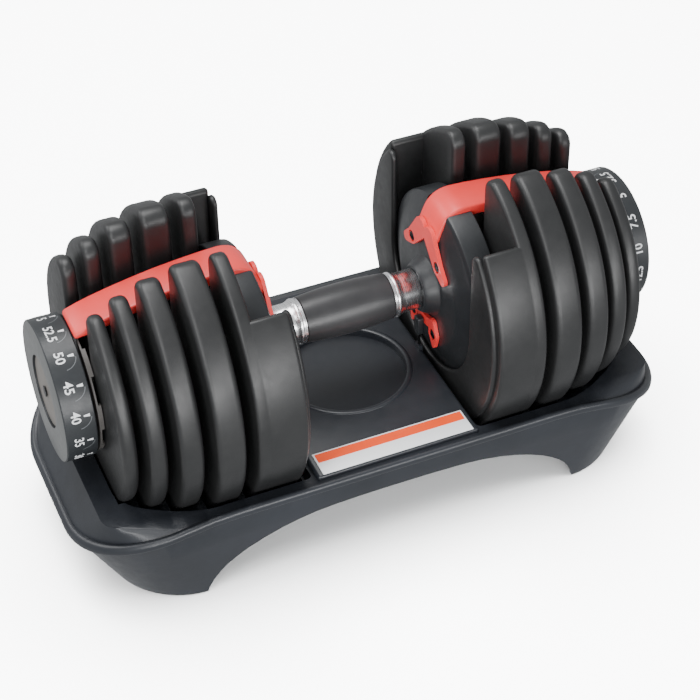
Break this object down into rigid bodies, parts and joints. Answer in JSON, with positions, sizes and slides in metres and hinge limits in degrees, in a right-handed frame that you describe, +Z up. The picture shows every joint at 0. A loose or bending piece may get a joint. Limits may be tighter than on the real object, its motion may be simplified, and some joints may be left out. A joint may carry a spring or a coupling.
{
  "type": "adjustable dumbbell",
  "caption": "Adjustable dumbbell in its storage tray: slotted plates, a gripped handle and a selector dial at each end.",
  "frame": {"origin": "on the ground under the middle of the tray", "axes": "+X along the handle to the right, +Y away from the labelled side of the tray, +Z up"},
  "size_m": [0.414, 0.197, 0.222],
  "materials": {
    "tray_plastic": "satin moulded plastic",
    "label_film": "printed film",
    "foot_rubber": "matt",
    "grip_rubber": "satin",
    "tube_steel": "ground",
    "collar_chrome": "mirror",
    "housing_nylon": "satin",
    "bridge_red": "satin",
    "screw_steel": "black oxide",
    "dial_plastic": "satin with printed numbers",
    "cap_plastic": "satin",
    "selector_nylon": "satin",
    "plate_coating": "satin powder coat"
  },
  "bodies": {
    "base": {"tray": "tray_plastic", "label": "label_film", "foot_front_left": "foot_rubber", "foot_front_right": "foot_rubber", "foot_back_left": "foot_rubber", "foot_back_right": "foot_rubber"},
    "handle": {"handle_tube": "tube_steel", "grip": "grip_rubber", "collar_left": "collar_chrome", "hub_flange_left": "housing_nylon", "bridge_left": "bridge_red", "lower_bracket_left": "bridge_red", "end_bearing_left": "housing_nylon", "lock_spring_left": "screw_steel", "bridge_screw_1_left": "screw_steel", "bridge_screw_2_left": "screw_steel", "bridge_screw_3_left": "screw_steel", "bridge_screw_4_left": "screw_steel", "collar_right": "collar_chrome", "hub_flange_right": "housing_nylon", "bridge_right": "bridge_red", "lower_bracket_right": "bridge_red", "end_bearing_right": "housing_nylon", "lock_spring_right": "screw_steel", "bridge_screw_1_right": "screw_steel", "bridge_screw_2_right": "screw_steel", "bridge_screw_3_right": "screw_steel", "bridge_screw_4_right": "screw_steel"},
    "selector_left": {"dial_left": "dial_plastic", "dial_cap_left": "cap_plastic", "dial_screw_left": "screw_steel", "selector_axle_left": "tube_steel", "selector_disc_1_left": "selector_nylon", "selector_disc_2_left": "selector_nylon", "selector_disc_3_left": "selector_nylon", "selector_disc_4_left": "selector_nylon", "selector_disc_5_left": "selector_nylon"},
    "lock_left": {"lock_pin_left": "screw_steel"},
    "plate_10lb_left": {"plate_10lb_left": "plate_coating"},
    "plate_5lb_a_left": {"plate_5lb_a_left": "plate_coating"},
    "plate_5lb_b_left": {"plate_5lb_b_left": "plate_coating"},
    "plate_2p5lb_left": {"plate_2p5lb_left": "plate_coating"},
    "plate_1p25lb_left": {"plate_1p25lb_left": "plate_coating"},
    "selector_right": {"dial_right": "dial_plastic", "dial_cap_right": "cap_plastic", "dial_screw_right": "screw_steel", "selector_axle_right": "tube_steel", "selector_disc_1_right": "selector_nylon", "selector_disc_2_right": "selector_nylon", "selector_disc_3_right": "selector_nylon", "selector_disc_4_right": "selector_nylon", "selector_disc_5_right": "selector_nylon"},
    "lock_right": {"lock_pin_right": "screw_steel"},
    "plate_10lb_right": {"plate_10lb_right": "plate_coating"},
    "plate_5lb_a_right": {"plate_5lb_a_right": "plate_coating"},
    "plate_5lb_b_right": {"plate_5lb_b_right": "plate_coating"},
    "plate_2p5lb_right": {"plate_2p5lb_right": "plate_coating"},
    "plate_1p25lb_right": {"plate_1p25lb_right": "plate_coating"}
  },
  "joints": [
    {"name": "handle_lift", "type": "slide", "parent": "base", "child": "handle", "axis": [0, 0, 1], "range_m": [0, 0.15]},
    {"name": "plate_10lb_left_lift", "type": "slide", "parent": "base", "child": "plate_10lb_left", "axis": [0, 0, 1], "range_m": [0, 0.15]},
    {"name": "plate_5lb_a_left_lift", "type": "slide", "parent": "base", "child": "plate_5lb_a_left", "axis": [0, 0, 1], "range_m": [0, 0.15]},
    {"name": "plate_5lb_b_left_lift", "type": "slide", "parent": "base", "child": "plate_5lb_b_left", "axis": [0, 0, 1], "range_m": [0, 0.15]},
    {"name": "plate_2p5lb_left_lift", "type": "slide", "parent": "base", "child": "plate_2p5lb_left", "axis": [0, 0, 1], "range_m": [0, 0.15]},
    {"name": "plate_1p25lb_left_lift", "type": "slide", "parent": "base", "child": "plate_1p25lb_left", "axis": [0, 0, 1], "range_m": [0, 0.15]},
    {"name": "plate_10lb_right_lift", "type": "slide", "parent": "base", "child": "plate_10lb_right", "axis": [0, 0, 1], "range_m": [0, 0.15]},
    {"name": "plate_5lb_a_right_lift", "type": "slide", "parent": "base", "child": "plate_5lb_a_right", "axis": [0, 0, 1], "range_m": [0, 0.15]},
    {"name": "plate_5lb_b_right_lift", "type": "slide", "parent": "base", "child": "plate_5lb_b_right", "axis": [0, 0, 1], "range_m": [0, 0.15]},
    {"name": "plate_2p5lb_right_lift", "type": "slide", "parent": "base", "child": "plate_2p5lb_right", "axis": [0, 0, 1], "range_m": [0, 0.15]},
    {"name": "plate_1p25lb_right_lift", "type": "slide", "parent": "base", "child": "plate_1p25lb_right", "axis": [0, 0, 1], "range_m": [0, 0.15]},
    {"name": "dial_left_turn", "type": "hinge", "parent": "handle", "child": "selector_left", "pos_m": [-0.19, 0, 0.129], "axis": [1, 0, 0], "continuous": true},
    {"name": "lock_pin_left_slide", "type": "slide", "parent": "handle", "child": "lock_left", "axis": [0, 0, 1], "range_m": [0, 0.003], "stiffness_N_per_m": 60, "springref_m": -0.002, "deforming": ["lock_spring_left"]},
    {"name": "dial_right_turn", "type": "hinge", "parent": "handle", "child": "selector_right", "pos_m": [0.19, 0, 0.129], "axis": [1, 0, 0], "continuous": true},
    {"name": "lock_pin_right_slide", "type": "slide", "parent": "handle", "child": "lock_right", "axis": [0, 0, 1], "range_m": [0, 0.003], "stiffness_N_per_m": 60, "springref_m": -0.002, "deforming": ["lock_spring_right"]}
  ],
  "couplings": [
    {"joint": "plate_10lb_left_lift", "follows": "handle_lift", "ratio": 1},
    {"joint": "plate_5lb_a_left_lift", "follows": "handle_lift", "ratio": 1},
    {"joint": "plate_5lb_b_left_lift", "follows": "handle_lift", "ratio": 1},
    {"joint": "plate_2p5lb_left_lift", "follows": "handle_lift", "ratio": 1},
    {"joint": "plate_1p25lb_left_lift", "follows": "handle_lift", "ratio": 1},
    {"joint": "plate_10lb_right_lift", "follows": "handle_lift", "ratio": 1},
    {"joint": "plate_5lb_a_right_lift", "follows": "handle_lift", "ratio": 1},
    {"joint": "plate_5lb_b_right_lift", "follows": "handle_lift", "ratio": 1},
    {"joint": "plate_2p5lb_right_lift", "follows": "handle_lift", "ratio": 1},
    {"joint": "plate_1p25lb_right_lift", "follows": "handle_lift", "ratio": 1}
  ]
}
